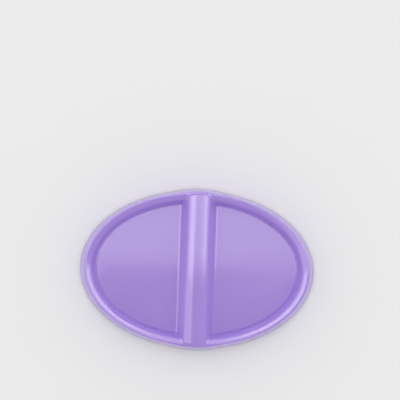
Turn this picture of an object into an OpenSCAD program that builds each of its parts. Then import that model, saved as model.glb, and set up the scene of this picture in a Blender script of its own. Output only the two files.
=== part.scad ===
// Magnetic pin bowl: an oval dish with a handle bar across it, two magnets under its floor
// and a screwed base plate on four rubber feet. Millimetres, +Z up, standing on Z = 0,
// with the long way along X and the handle bar along Y.

/* [Rim and skirt] */
// Length of the rim, along X
rim_length = 114; // [106:1:130]
// Width of the rim, along Y
rim_width = 76.8; // [70:0.4:90]
// Radius of the lip's outer edge, at the ends
lip_outer_radius = 0.8; // [0.6:0.1:1.6]
// Width of the roll from the dish's side wall to the lip, at the ends
lip_inner_radius = 4.2; // [3.8:0.1:5]
// Height of that roll's curve, as a share of the dish's depth
lip_roll_share = 0.84; // [0.66:0.02:0.9]
// Flat crest between the lip's two edges, at the ends
lip_crest = 0.1; // [0.1:0.1:0.8]
// How far the skirt slopes outwards down to its foot, at the ends
skirt_flare = 3.7; // [2:0.1:6]
// Thickness of the skirt and of the dish's side wall, at the ends
wall = 2.2; // [1.8:0.1:2.4]
// Depth to which the rim is solid, below the lip
rim_depth = 4; // [3.2:0.2:5.6]

/* [Dish] */
// Depth of the dish below the lip
dish_depth = 4.4; // [4.2:0.2:9]
// Distance from the floor's edge to the narrowest line of the roll above it, at the ends
side_wall_run = 0.7; // [0.1:0.1:1]
// How far the side wall's foot bows away from a straight line
side_wall_bow = 0.1; // [0.05:0.05:0.2]
// Thickness of the dish's floor
floor_thickness = 1.6; // [1.4:0.1:2.6]
// Depth of the groove round the floor
groove_depth = 0.35; // [0.2:0.05:0.5]
// Width of the groove round the floor
groove_width = 0.9; // [0.6:0.1:1.4]

/* [Handle bar] */
// Height of the bar above the lip
handle_rise = 1.8; // [1.2:0.1:6]
// Width of the bar at its top
handle_top_width = 10.8; // [10:0.2:13]
// Width of the bar at the dish's floor, without its fillets
handle_foot_width = 18; // [15:0.2:19]
// Height of the crown along the bar's top
handle_crown = 0.5; // [0.3:0.1:1.4]
// Radius of the bar's long top edges
handle_edge_radius = 1; // [0.8:0.1:1.8]
// Radius of the top edges at the bar's ends
handle_end_radius = 0.7; // [0.4:0.1:1.2]
// Radius of the fillet at the bar's foot
handle_foot_fillet = 1.7; // [0.8:0.1:1.8]
// Width of the straight middle of the bar's ends, seen from above
handle_end_flat = 0.8; // [0.4:0.1:8]
// Lean of the bar's end faces, in degrees
handle_end_lean = 10; // [5:1:16]
// Ledge between the bar's end and the lip's outer edge
handle_ledge = 1.3; // [1.2:0.1:3]
// How far the rim swells outwards at the bar's ends
swell_reach = 0.8; // [0.4:0.1:1.4]
// Radius along X of the swelling
swell_radius = 24; // [20:1:30]

/* [Magnets] */
// Length of each magnet, along Y
magnet_length = 40; // [30:1:42]
// Width of each magnet, along X
magnet_width = 25; // [18:1:26]
// Thickness of each magnet
magnet_thickness = 4; // [3:0.5:8]
// Distance between the two magnets' centres
magnet_spacing = 52; // [50:1:54]
// Bevel on the magnet's edges
magnet_bevel = 0.5; // [0.3:0.1:0.8]
// Thickness of the steel plate behind each magnet
backing_thickness = 0.6; // [0.5:0.1:1.5]
// Thickness of the foam pad under each steel plate, as pressed
pad_thickness = 0.8; // [0.6:0.1:2]
// How far the pad stops short of the steel plate's edge
pad_margin = 2; // [1:0.5:4]
// Corner radius of the steel plates and the foam pads
sheet_corner_radius = 1.5; // [0.5:0.5:3]
// Gap between a magnet and the ribs that locate it
pocket_clearance = 0.2; // [0.1:0.05:0.4]
// Thickness of the locating ribs
rib_thickness = 1.2; // [0.8:0.1:1.4]
// Length of each leg of a locating rib
rib_leg = 7; // [5:0.5:8]
// Depth of the locating ribs below the floor
rib_depth = 3; // [2:0.5:3.5]

/* [Base plate] */
// Thickness of the base plate
plate_thickness = 1.8; // [1.6:0.1:3]
// Gap between the base plate and the skirt, at the ends
plate_clearance = 0.25; // [0.15:0.05:0.4]
// Thickness of the fence round the base plate
fence_thickness = 1.2; // [0.8:0.1:1.5]
// Height of the fence above the base plate
fence_height = 2.6; // [1.5:0.1:4]
// Height of the round pads that meet the screw bosses
boss_pad_height = 1.6; // [1:0.1:2]
// Diameter of the round pads
boss_pad_diameter = 8; // [7:0.1:9]
// Height of the ribs that locate the foam pads
pad_rib_height = 0.4; // [0.2:0.1:0.6]

/* [Screws] */
// Diameter of the screw's shank
screw_diameter = 2.2; // [2:0.1:2.4]
// Length of the screw under its head
screw_length = 5; // [4.5:0.1:5.5]
// Diameter of the screw's head
screw_head_diameter = 4.2; // [3.8:0.1:4.6]
// Height of the screw's head
screw_head_height = 1.4; // [1.2:0.1:1.6]
// Length of each slot of the screw's cross recess
screw_recess_length = 2.5; // [2:0.1:2.8]
// Width of each slot of the screw's cross recess
screw_recess_width = 0.7; // [0.5:0.1:0.9]
// Depth of the screw's cross recess
screw_recess_depth = 0.8; // [0.5:0.1:1]
// Length of the screw's point
screw_point = 1.8; // [1:0.1:2.4]
// Gap round the screw's shank in the base plate
screw_clearance = 0.2; // [0.1:0.05:0.4]
// Outer diameter of the screw bosses
boss_diameter = 6; // [5:0.1:6.4]
// Distance between the two screws under the dish's ends
end_screw_spacing = 91; // [88:0.5:92]
// Distance between the two screws under the handle bar
bar_screw_spacing = 48; // [40:1:54]

/* [Feet] */
// Diameter of the rubber feet
foot_diameter = 10; // [8:0.5:12]
// Height of the rubber feet
foot_height = 2; // [1.6:0.1:3]
// Depth of the feet's recesses in the base plate
foot_recess = 0.8; // [0.4:0.1:1]
// Radius of the tread's edge
foot_tread_radius = 0.6; // [0.3:0.1:0.9]
// Gap round a foot in its recess
foot_clearance = 0.15; // [0.05:0.05:0.3]
// Distance between the feet along X
foot_spacing_x = 76; // [60:1:80]
// Distance between the feet along Y
foot_spacing_y = 42; // [32:1:44]

/* [Hidden] */
$fn = 96;
arc_steps = 6;
cut = 0.6;            // how far a cutting body runs past the face that it opens
head_play = 0.4;      // gap round a screw's head in its counterbore
head_sink = 0.2;      // how far a screw's head lies below the base plate's face
head_rounding = 0.6;  // radius of a screw head's rounded edge
pilot_play = 0.05;    // gap round a screw's shank in its boss, where the thread would bite
pilot_end = 0.4;      // gap past a screw's point
crown_start = 76;     // angle at which the bar's edge rounding runs on into its crown
roll_start = 20;      // angle at which the side wall's foot runs on into the lip's roll

// Heights, from the table up
plate_bottom = foot_height - foot_recess;
plate_top = plate_bottom + plate_thickness;
pad_top = plate_top + pad_thickness;
backing_top = pad_top + backing_thickness;
floor_under = backing_top + magnet_thickness;
floor_top = floor_under + floor_thickness;
rim_top = floor_top + dish_depth;
handle_top = rim_top + handle_rise;
head_seat = plate_bottom + head_sink + screw_head_height;
boss_foot = plate_top + boss_pad_height;
fence_top = plate_top + fence_height;
screw_tip = head_seat + screw_length;
room_top = rim_top - rim_depth;

pad_width = magnet_width - 2 * pad_margin;
pad_length = magnet_length - 2 * pad_margin;

// The ovals are drawn as circles of the size that they have along X, then narrowed along Y
narrowing = rim_width / rim_length;
rim_a = rim_length / 2;
foot_a = rim_a + skirt_flare;
crest_a = rim_a - lip_outer_radius - lip_crest;
roll_height = dish_depth * lip_roll_share;
floor_a = crest_a - lip_inner_radius - side_wall_run;
skirt_slope = skirt_flare / (rim_top - lip_outer_radius - plate_bottom);
plate_a = foot_a - wall - plate_clearance;
handle_end = (rim_width / 2 + swell_reach - handle_ledge) / narrowing;
swell_centre = (rim_width / 2 + swell_reach) / narrowing - swell_radius;

// The bar's side leans so that it runs from its foot into the rounding of its long top edge
edge_centre = [handle_top_width / 2 - handle_edge_radius, handle_top - handle_crown - handle_edge_radius];
edge_to_foot = [handle_foot_width / 2, floor_top] - edge_centre;
side_lean = acos(handle_edge_radius / norm(edge_to_foot)) - atan2(-edge_to_foot[1], edge_to_foot[0]);
fillet_end = handle_foot_width / 2 + handle_foot_fillet / tan(45 + side_lean / 2);

// Points along an arc about (x, z), from one angle to another
function arc(x, z, r, from, to) =
    [for (i = [0 : arc_steps]) let (t = from + (to - from) * i / arc_steps) [x + r * cos(t), z + r * sin(t)]];

// Points along a shallow arc from p to q that bows to the right of its way by bow
function bowed(p, q, bow) =
    let (d = q - p, side = [d[1], -d[0]] / norm(d))
    [for (i = [0 : arc_steps]) let (t = i / arc_steps) p + d * t + side * bow * 4 * t * (1 - t)];

// Height on the lip's roll at an angle, and the half axis of the dish there
function roll_z(t) = rim_top - roll_height * (1 - sin(t));
function roll_a(t) = crest_a - lip_inner_radius * cos(t);

// The half of its children at positive X, narrowed along Y, and its mirror image
module two_halves() {
    for (side = [0, 1]) mirror([side, 0, 0]) scale([1, narrowing, 1]) intersection() {
        children();
        translate([0, -rim_length, 0]) cube([rim_length, 2 * rim_length, handle_top + cut]);
    }
}

// Places its children at both magnets' centres
module at_magnet(side) {
    translate([side * magnet_spacing / 2, 0, 0]) children();
}

module at_screws() {
    for (side = [-1, 1]) {
        translate([side * end_screw_spacing / 2, 0, 0]) children();
        translate([0, side * bar_screw_spacing / 2, 0]) children();
    }
}

module at_foot(side, end) {
    translate([side * foot_spacing_x / 2, end * foot_spacing_y / 2, 0]) children();
}

// An upright cylinder between two heights
module post(diameter, bottom, top) {
    translate([0, 0, bottom]) cylinder(d = diameter, h = top - bottom);
}

module rounded_sheet(x, y, thickness, radius) {
    linear_extrude(thickness) union() {
        square([x - 2 * radius, y], center = true);
        square([x, y - 2 * radius], center = true);
        for (i = [-1, 1], j = [-1, 1])
            translate([i * (x / 2 - radius), j * (y / 2 - radius)]) circle(r = radius);
    }
}

// Four L-shaped ribs round the corners of a rectangle
module corner_ribs(x, y, height) {
    inner_x = x / 2 + pocket_clearance;
    inner_y = y / 2 + pocket_clearance;
    for (i = [0, 1], j = [0, 1])
        mirror([i, 0, 0]) mirror([0, j, 0]) linear_extrude(height) polygon([
            [inner_x - rib_leg, inner_y],
            [inner_x, inner_y],
            [inner_x, inner_y - rib_leg],
            [inner_x + rib_thickness, inner_y - rib_leg],
            [inner_x + rib_thickness, inner_y + rib_thickness],
            [inner_x - rib_leg, inner_y + rib_thickness]
        ]);
}

// A solid disc with a flared skirt and a rounded top edge
module flared_disc(radius) {
    rotate_extrude() polygon(concat(
        [[0, plate_bottom], [radius + skirt_flare, plate_bottom]],
        arc(radius - lip_outer_radius, rim_top - lip_outer_radius, lip_outer_radius, 0, 90),
        [[0, rim_top]]
    ));
}

// The hollow of the dish, with the groove round its floor
module dish_room() {
    groove_bottom = floor_top - groove_depth;
    rotate_extrude() polygon(concat(
        [[0, floor_top], [floor_a - groove_width, floor_top], [floor_a - groove_width / 2, groove_bottom]],
        bowed([floor_a, groove_bottom], [roll_a(roll_start), roll_z(roll_start)], side_wall_bow),
        [for (i = [1 : arc_steps])
            let (t = roll_start + (90 - roll_start) * i / arc_steps) [roll_a(t), roll_z(t)]],
        [[crest_a, rim_top + cut], [0, rim_top + cut]]
    ));
}

// Half axis of a cone that runs down with the skirt from radius at the base plate's underside
function sloped(radius, z) = radius - (z - plate_bottom) * skirt_slope;

// The room inside the skirt, below and round the dish
module under_room() {
    difference() {
        rotate_extrude() polygon([
            [0, plate_bottom - cut],
            [sloped(foot_a - wall, plate_bottom - cut), plate_bottom - cut],
            [sloped(foot_a - wall, room_top), room_top],
            [0, room_top]
        ]);
        rotate_extrude() polygon([
            [0, floor_under],
            [floor_a + wall, floor_under],
            [roll_a(roll_start) + wall, room_top + cut],
            [0, room_top + cut]
        ]);
    }
}

// Points along the bar's rounded edge and crown, from its side to its middle
function bar_top(half_width, top, radius) =
    let (
        edge = arc(half_width - radius, top - handle_crown - radius, radius, side_lean, crown_start),
        last = edge[arc_steps],
        rise = top - last[1]
    )
    concat(edge, [for (i = [1 : arc_steps]) let (t = 1 - i / arc_steps) [last[0] * t, top - rise * t * t]]);

// Section across half of the handle bar
function bar_section() = concat(
    [[0, floor_under], [fillet_end, floor_under]],
    arc(fillet_end, floor_top + handle_foot_fillet, handle_foot_fillet, -90, side_lean - 180),
    bar_top(handle_top_width / 2, handle_top, handle_edge_radius)
);

// Section across half of the room inside the handle bar
function bar_room_section() = concat(
    [[0, plate_bottom - cut], [handle_foot_width / 2 - wall, plate_bottom - cut]],
    [[handle_foot_width / 2 - wall, floor_top]],
    bar_top(handle_top_width / 2 - wall, handle_top - wall, wall / 4)
);

// A section in X and Z, mirrored about Z and drawn out along Y
module along_y(length, section) {
    rotate([90, 0, 0]) linear_extrude(length, center = true) union() {
        polygon(section);
        mirror([1, 0]) polygon(section);
    }
}

// The bar's outline from above, with round corners
module bar_outline() {
    corner_x = handle_end_flat / 2;
    corner_radius = fillet_end - corner_x;
    corner_y = handle_end - corner_radius;
    union() {
        square([2 * fillet_end, 2 * corner_y], center = true);
        square([2 * corner_x, 2 * handle_end], center = true);
        for (i = [-1, 1], j = [-1, 1])
            translate([i * corner_x, j * corner_y]) circle(r = corner_radius);
    }
}

// The bar's outline from the side, with leaning ends
module bar_profile() {
    lean = tan(handle_end_lean) / narrowing;
    foot = floor_under - cut;
    radius = handle_end_radius;
    top_end = handle_end - handle_rise * lean;
    side = concat(
        [[0, foot], [handle_end + (rim_top - foot) * lean, foot]],
        arc(top_end - radius, handle_top - radius, radius, 10, 80),
        [[0, handle_top]]
    );
    union() {
        polygon(side);
        mirror([1, 0]) polygon(side);
    }
}

module handle_bar() {
    intersection() {
        along_y(2 * handle_end + cut, bar_section());
        translate([0, 0, floor_under - cut]) linear_extrude(handle_top) bar_outline();
        rotate([90, 0, 90]) linear_extrude(2 * fillet_end + cut, center = true) bar_profile();
    }
}

module handle_room() {
    along_y(2 * (handle_end - wall / narrowing), bar_room_section());
}

module bowl_shell() {
    color("mediumpurple") difference() {
        union() {
            two_halves() difference() {
                union() {
                    difference() {
                        union() {
                            flared_disc(rim_a);
                            for (end = [-1, 1])
                                translate([0, end * swell_centre, 0]) flared_disc(swell_radius);
                        }
                        dish_room();
                    }
                    handle_bar();
                }
                under_room();
                handle_room();
            }
            at_screws() post(boss_diameter, boss_foot, floor_under + cut);
            for (end = [-1, 1]) translate([0, end * bar_screw_spacing / 2, 0])
                post(boss_diameter, boss_foot, handle_top - wall / 2);
            for (side = [-1, 1]) at_magnet(side) translate([0, 0, floor_under - rib_depth])
                corner_ribs(magnet_width, magnet_length, rib_depth + cut);
        }
        at_screws() post(screw_diameter + 2 * pilot_play, boss_foot - cut, screw_tip + pilot_end);
    }
}

module base_plate() {
    color("mediumpurple") difference() {
        union() {
            two_halves() rotate_extrude() polygon([
                [0, plate_bottom],
                [plate_a, plate_bottom],
                [sloped(plate_a, fence_top), fence_top],
                [sloped(plate_a, fence_top) - fence_thickness, fence_top],
                [sloped(plate_a, plate_top) - fence_thickness, plate_top],
                [0, plate_top]
            ]);
            at_screws() post(boss_pad_diameter, plate_bottom, boss_foot);
            for (side = [-1, 1]) at_magnet(side) translate([0, 0, plate_top - cut])
                corner_ribs(pad_width, pad_length, pad_rib_height + cut);
        }
        at_screws() {
            post(screw_head_diameter + 2 * head_play, plate_bottom - cut, head_seat);
            post(screw_diameter + 2 * screw_clearance, plate_bottom, boss_foot + cut);
        }
        for (side = [-1, 1], end = [-1, 1]) at_foot(side, end)
            post(foot_diameter + 2 * foot_clearance, plate_bottom - cut, foot_height);
    }
}

// A sintered block, bevelled on all its edges
module magnet(side) {
    half = [magnet_width, magnet_length, magnet_thickness] / 2;
    function bevelled(x, y) = [
        [x, y - magnet_bevel], [x - magnet_bevel, y], [magnet_bevel - x, y], [-x, y - magnet_bevel],
        [-x, magnet_bevel - y], [magnet_bevel - x, -y], [x - magnet_bevel, -y], [x, magnet_bevel - y]
    ];
    color("dimgray") at_magnet(side) translate([0, 0, backing_top + half[2]]) intersection() {
        linear_extrude(magnet_thickness, center = true) polygon(bevelled(half[0], half[1]));
        rotate([90, 0, 0]) linear_extrude(magnet_length, center = true) polygon(bevelled(half[0], half[2]));
        rotate([90, 0, 90]) linear_extrude(magnet_width, center = true) polygon(bevelled(half[1], half[2]));
    }
}

module backing_plate(side) {
    color("silver") at_magnet(side) translate([0, 0, pad_top])
        rounded_sheet(magnet_width, magnet_length, backing_thickness, sheet_corner_radius);
}

module foam_pad(side) {
    color("whitesmoke") at_magnet(side) translate([0, 0, plate_top])
        rounded_sheet(pad_width, pad_length, pad_thickness, sheet_corner_radius);
}

// A pan-head self-tapping screw, head down, with a cross recess
module cover_screw() {
    head_radius = screw_head_diameter / 2;
    shank_radius = screw_diameter / 2;
    head_foot = head_seat - screw_head_height;
    difference() {
        rotate_extrude() polygon(concat(
            [[0, head_foot]],
            arc(head_radius - head_rounding, head_foot + head_rounding, head_rounding, -90, 0),
            [[head_radius, head_seat], [shank_radius, head_seat], [shank_radius, screw_tip - screw_point]],
            [[0, screw_tip]]
        ));
        for (turn = [0, 90]) rotate([0, 0, turn]) translate([0, 0, head_foot])
            cube([screw_recess_length, screw_recess_width, 2 * screw_recess_depth], center = true);
    }
}

module cover_screws() {
    color("lightgray") at_screws() cover_screw();
}

// A soft disc with a rounded tread
module foot(side, end) {
    radius = foot_diameter / 2;
    color("dimgray") at_foot(side, end) rotate_extrude() polygon(concat(
        [[0, 0]],
        arc(radius - foot_tread_radius, foot_tread_radius, foot_tread_radius, -90, 0),
        [[radius, foot_height], [0, foot_height]]
    ));
}

bowl_shell();
base_plate();
magnet(-1);  // magnet_left
magnet(1);  // magnet_right
backing_plate(-1);  // backing_plate_left
backing_plate(1);  // backing_plate_right
foam_pad(-1);  // foam_pad_left
foam_pad(1);  // foam_pad_right
cover_screws();
foot(-1, -1);  // foot_front_left
foot(1, -1);  // foot_front_right
foot(-1, 1);  // foot_back_left
foot(1, 1);  // foot_back_right
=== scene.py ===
"""Magnetic pin bowl: a glossy oval dish with a handle bar, on a base plate with rubber feet.

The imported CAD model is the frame. Every piece here stands for one of its nodes and keeps its place.
Lengths are in millimetres and become metres as they reach a mesh. The studio's are in metres.
"""

import logging
import math
from collections.abc import Callable, Iterator, Sequence
from contextlib import contextmanager
from dataclasses import dataclass
from enum import Enum

import bmesh
import bpy
import numpy as np
from mathutils import Matrix, Vector


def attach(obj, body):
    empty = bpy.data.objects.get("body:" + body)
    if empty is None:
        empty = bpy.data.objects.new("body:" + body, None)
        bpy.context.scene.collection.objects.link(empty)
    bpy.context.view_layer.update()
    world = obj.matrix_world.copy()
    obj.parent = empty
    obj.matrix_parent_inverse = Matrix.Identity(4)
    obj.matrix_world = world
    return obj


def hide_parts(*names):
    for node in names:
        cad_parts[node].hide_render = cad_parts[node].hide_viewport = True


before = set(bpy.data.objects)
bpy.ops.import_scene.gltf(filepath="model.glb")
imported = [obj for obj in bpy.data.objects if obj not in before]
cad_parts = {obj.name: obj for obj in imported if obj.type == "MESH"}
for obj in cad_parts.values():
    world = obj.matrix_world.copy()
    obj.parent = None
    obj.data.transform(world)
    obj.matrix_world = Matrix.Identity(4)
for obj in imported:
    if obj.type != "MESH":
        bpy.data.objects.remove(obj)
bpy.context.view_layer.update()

MM = 0.001
TINY = 1e-6
BODY = "root"
log = logging.getLogger("pin_bowl")

Array = np.ndarray
Pair = tuple[float, float]
Piece = bpy.types.Object
Point = tuple[float, float, float]
Socket = bpy.types.NodeSocket


class Slot(Enum):
    """The record's material slots."""

    SHELL = "shell_plastic"
    BASE = "base_plastic"
    FERRITE = "ferrite"
    ZINC = "zinc_steel"
    FOAM = "foam"
    SCREW = "screw_steel"
    RUBBER = "foot_rubber"


class Side(Enum):
    """The two halves of the dish, by the sign of X."""

    LEFT = -1
    RIGHT = 1


class Kind(Enum):
    """What an edit selects: the name is the select mode's, and the value is the mesh's list."""

    VERT = "verts"
    EDGE = "edges"
    FACE = "faces"


class Carving(Enum):
    """What a second solid does to the first."""

    CUT = "DIFFERENCE"
    ADD = "UNION"


# Bench work


def deselect_all() -> None:
    """Leaves nothing selected, so that an operator acts only on what is picked next."""
    if bpy.context.object and bpy.context.object.mode != "OBJECT":
        bpy.ops.object.mode_set(mode="OBJECT")
    bpy.ops.object.select_all(action="DESELECT")


def take(*pieces: Piece) -> None:
    """Selects some pieces and nothing else, and makes the first of them the active one.

    Args:
        pieces: what to select.
    """
    deselect_all()
    for piece in pieces:
        piece.select_set(True)
    bpy.context.view_layer.objects.active = pieces[0]


@contextmanager
def editing(piece: Piece, kind: Kind, everything: bool = False) -> Iterator[None]:
    """Opens a piece in edit mode, and closes it again.

    Args:
        piece: the mesh to edit.
        kind: what its operators select by.
        everything: whether all of the mesh starts selected, or none of it.

    Yields:
        Nothing, while the mesh is open.
    """
    take(piece)
    bpy.ops.object.mode_set(mode="EDIT")
    bpy.ops.mesh.select_mode(type=kind.name)
    bpy.ops.mesh.select_all(action="SELECT" if everything else "DESELECT")
    try:
        yield
    finally:
        bpy.ops.object.mode_set(mode="OBJECT")


def pick_all() -> None:
    """Selects all of the open mesh."""
    bpy.ops.mesh.select_all(action="SELECT")


def pick(piece: Piece, kind: Kind, test: Callable[..., bool]) -> None:
    """Selects the parts of an open mesh that pass a test, and no others.

    Args:
        piece: the mesh in edit mode.
        kind: whether vertices, edges or faces are tested.
        test: says of one of them whether it is wanted.
    """
    mesh = bmesh.from_edit_mesh(piece.data)
    for group in (mesh.verts, mesh.edges, mesh.faces):
        for part in group:
            part.select = False
    for part in getattr(mesh, kind.value):
        if test(part):
            part.select_set(True)
    mesh.select_flush_mode()
    bmesh.update_edit_mesh(piece.data)


def rise(edge: bmesh.types.BMEdge) -> float:
    """How much higher one end of an edge is than the other, in metres."""
    return abs(edge.verts[0].co.z - edge.verts[1].co.z)


def looks_up(face: bmesh.types.BMFace) -> bool:
    """Whether a face looks up."""
    return face.normal.z > 0.9


def is_upright(edge: bmesh.types.BMEdge) -> bool:
    """Whether an edge climbs."""
    return rise(edge) > 0.1 * MM


def is_sharp(edge: bmesh.types.BMEdge) -> bool:
    """Whether the two faces at an edge turn by more than a radian."""
    return edge.is_manifold and edge.calc_face_angle(0) > 1.0


def move(by: Sequence[float]) -> None:
    """Moves what is selected in the open mesh, by millimetres."""
    bpy.ops.transform.translate(value=[step * MM for step in by])


def face_outwards() -> None:
    """Turns every face of the open mesh outwards."""
    pick_all()
    bpy.ops.mesh.normals_make_consistent(inside=False)


def apply_modifiers(piece: Piece) -> None:
    """Makes every modifier of a piece part of its mesh.

    Args:
        piece: the mesh with the modifiers.
    """
    take(piece)
    for modifier in list(piece.modifiers):
        bpy.ops.object.modifier_apply(modifier=modifier.name)


def settle(piece: Piece, smooth_angle: float | None = 32.0) -> Piece:
    """Brings a piece's object to the origin with its place in its mesh, and sets its shading.

    Args:
        piece: the finished mesh.
        smooth_angle: edges that turn by more degrees stay sharp. None leaves the shading flat.

    Returns:
        The same piece.
    """
    take(piece)
    bpy.ops.object.transform_apply(location=True, rotation=True, scale=True)
    if smooth_angle is not None:
        bpy.ops.object.shade_smooth_by_angle(angle=math.radians(smooth_angle))
    return piece


def named(name: str) -> Piece:
    """Names what an operator has just made.

    Args:
        name: the name for the object and its mesh.

    Returns:
        The piece.
    """
    piece = bpy.context.object
    piece.name = piece.data.name = name
    return piece


def drawn_chain(name: str, chain: Sequence[Pair]) -> Piece:
    """Draws a chain of edges: one vertex, extruded from point to point.

    Args:
        name: the piece's name.
        chain: the points in X and Z.

    Returns:
        The chain, in the plane of X and Z.
    """
    deselect_all()
    bpy.ops.mesh.primitive_plane_add(size=MM, location=(0, 0, 0))
    piece = named(name)
    with editing(piece, Kind.VERT, everything=True):
        bpy.ops.mesh.merge(type="CENTER")
        pick_all()
        move((chain[0][0], 0, chain[0][1]))
        for here, there in zip(chain, chain[1:]):
            step = ((there[0] - here[0]) * MM, 0, (there[1] - here[1]) * MM)
            bpy.ops.mesh.extrude_vertices_move(TRANSFORM_OT_translate={"value": step})
    return piece


def lathed(name: str, section: Sequence[Pair], at: Pair = (0, 0), steps: int = 64) -> Piece:
    """Draws a section as a chain and spins it round an upright axis.

    Args:
        name: the piece's name.
        section: the points in X and Z, from the axis round to the axis.
        at: where the axis stands in X and Y.
        steps: segments in the whole turn.

    Returns:
        A closed solid with its faces outwards.
    """
    piece = drawn_chain(name, section)
    with editing(piece, Kind.VERT, everything=True):
        bpy.ops.mesh.spin(steps=steps, angle=math.tau, center=(0, 0, 0), axis=(0, 0, 1))
        pick_all()
        bpy.ops.mesh.remove_doubles(threshold=1e-7)
        face_outwards()
        move((*at, 0))
    return piece


def carve(piece: Piece, others: Sequence[Piece], carving: Carving = Carving.CUT) -> None:
    """Cuts other solids out of a piece, or adds them to it, and uses them up.

    Args:
        piece: the piece that stays.
        others: closed meshes.
        carving: what they do to the piece.
    """
    for other in others:
        boolean = piece.modifiers.new("carve", "BOOLEAN")
        boolean.operation = carving.value
        boolean.solver = "EXACT"
        boolean.object = other
        apply_modifiers(piece)
        bpy.data.objects.remove(other)


# Surface effects and finishes


class Sheet:
    """A node tree being drawn: makes nodes, sets their values and joins them."""

    def __init__(self, tree: bpy.types.NodeTree) -> None:
        """Takes the tree to draw in, and clears it."""
        self.tree = tree
        tree.nodes.clear()

    @classmethod
    def of(cls, owner: bpy.types.ID) -> "Sheet":
        """Opens the nodes of a material, a world or a lamp."""
        owner.use_nodes = True
        return cls(owner.node_tree)

    def fill(self, node: bpy.types.Node, values: dict[str | int, object]) -> None:
        """Sets inputs of a node to values, or joins them to other nodes.

        Args:
            node: the node.
            values: an input's name or number to its value, or to the output that feeds it.
        """
        for name, value in values.items():
            if isinstance(value, Socket):
                self.tree.links.new(value, node.inputs[name])
            else:
                node.inputs[name].default_value = value

    def node(self, kind: str, values: dict[str | int, object] | None = None,
             **options: object) -> bpy.types.Node:
        """Adds a node.

        Args:
            kind: the node's type.
            values: what its inputs are set or joined to.
            options: the node's own settings.

        Returns:
            The new node.
        """
        made = self.tree.nodes.new(kind)
        for name, value in options.items():
            setattr(made, name, value)
        self.fill(made, values or {})
        return made

    def object_place(self) -> Socket:
        """Where a point lies on the piece."""
        return self.node("ShaderNodeTexCoord").outputs["Object"]

    def math(self, operation: str, *values: object, clamp: bool = False) -> Socket:
        """The result of a sum, product or other operation on values and sockets."""
        options = {"operation": operation, "use_clamp": clamp}
        return self.node("ShaderNodeMath", dict(enumerate(values)), **options).outputs[0]

    def total(self, start: object, *shares: tuple[Socket, float]) -> Socket:
        """A start value with shares of others added.

        Args:
            start: the value or socket to start from.
            shares: the others, and how much of each is added.

        Returns:
            The sum.
        """
        for value, share in shares:
            start = self.math("MULTIPLY_ADD", value, share, start)
        return start

    def ramp(self, value: Socket, low: float, high: float, to_low: float = 0.0,
             to_high: float = 1.0) -> Socket:
        """Brings a value smoothly from one range to another, and keeps it within that.

        Args:
            value: what is brought over.
            low: the start of its range.
            high: the end of its range.
            to_low: what the start becomes.
            to_high: what the end becomes.

        Returns:
            The new value.
        """
        values = {"Value": value, "From Min": low, "From Max": high, "To Min": to_low,
                  "To Max": to_high}
        made = self.node("ShaderNodeMapRange", values, interpolation_type="SMOOTHSTEP")
        return made.outputs["Result"]

    def noise(self, place: Socket, scale: object, detail: float = 2.0,
              roughness: float = 0.5) -> Socket:
        """The value of a noise over a place."""
        values = {"Vector": place, "Scale": scale, "Detail": detail, "Roughness": roughness}
        return self.node("ShaderNodeTexNoise", values).outputs["Fac"]

    def cells(self, place: Socket, scale: float) -> Socket:
        """How far a place is from the middle of its cell."""
        made = self.node("ShaderNodeTexVoronoi", {"Vector": place, "Scale": scale})
        return made.outputs["Distance"]

    def drawn_out(self, place: Socket, stretch: float, turn: float = 0.0) -> Socket:
        """A place turned about Z and squeezed along Y, so that what is drawn on it runs one way."""
        values = {"Vector": place, "Rotation": (0, 0, turn), "Scale": (1.0, stretch, 1.0)}
        return self.node("ShaderNodeMapping", values).outputs[0]

    def relief(self, height: Socket, depth: float) -> Socket:
        """The normals of a relief so many millimetres deep."""
        values = {"Height": height, "Strength": 1.0, "Distance": depth * MM}
        return self.node("ShaderNodeBump", values).outputs["Normal"]


@dataclass(frozen=True)
class Effect:
    """An effect that materials share: a node group with one number to set, and named results."""

    name: str
    dial: str
    results: tuple[str, ...]
    draw: Callable[[Sheet, Socket, Socket], Sequence[Socket]]

    def tree(self) -> bpy.types.NodeTree:
        """Builds the group once, and gives the same one after that.

        Returns:
            The group.
        """
        if self.name not in bpy.data.node_groups:
            tree = bpy.data.node_groups.new(self.name, "ShaderNodeTree")
            ends = [(self.dial, "INPUT"), *((label, "OUTPUT") for label in self.results)]
            for label, end in ends:
                tree.interface.new_socket(label, in_out=end, socket_type="NodeSocketFloat")
            sheet = Sheet(tree)
            dial = sheet.node("NodeGroupInput").outputs[self.dial]
            drawn = self.draw(sheet, dial, sheet.object_place())
            sheet.node("NodeGroupOutput", dict(zip(self.results, drawn)))
        return bpy.data.node_groups[self.name]

    def placed(self, sheet: Sheet, setting: float) -> list[Socket]:
        """Places the effect in a material at some setting, and gives its results."""
        made = sheet.node("ShaderNodeGroup", {self.dial: setting}, node_tree=self.tree())
        return list(made.outputs)


def draw_handling_marks(sheet: Sheet, dial: Socket, place: Socket) -> list[Socket]:
    """Draws hairline scratches in three directions, and the soft smears that hands leave.

    Args:
        sheet: the group's sheet.
        dial: how strong the scratches are.
        place: where a point lies on the piece.

    Returns:
        The scratches and the smears.
    """
    scratches = 0.0
    for turn, stretch in ((0.5, 26.0), (-0.9, 34.0), (1.7, 22.0)):
        laid = sheet.drawn_out(place, stretch, turn)
        off_line = sheet.math("ABSOLUTE", sheet.math("SUBTRACT", sheet.noise(laid, 90.0), 0.5))
        line = sheet.ramp(off_line, 0.0, 0.012, 1.0, 0.0)
        patch = sheet.ramp(sheet.noise(laid, 11.0, 1.0), 0.55, 0.68)
        scratches = sheet.math("MAXIMUM", scratches, sheet.math("MULTIPLY", line, patch))
    smears = sheet.ramp(sheet.noise(place, 38.0, 4.0, 0.6), 0.4, 0.7)
    return [sheet.math("MULTIPLY", scratches, dial, clamp=True), smears]


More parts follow.
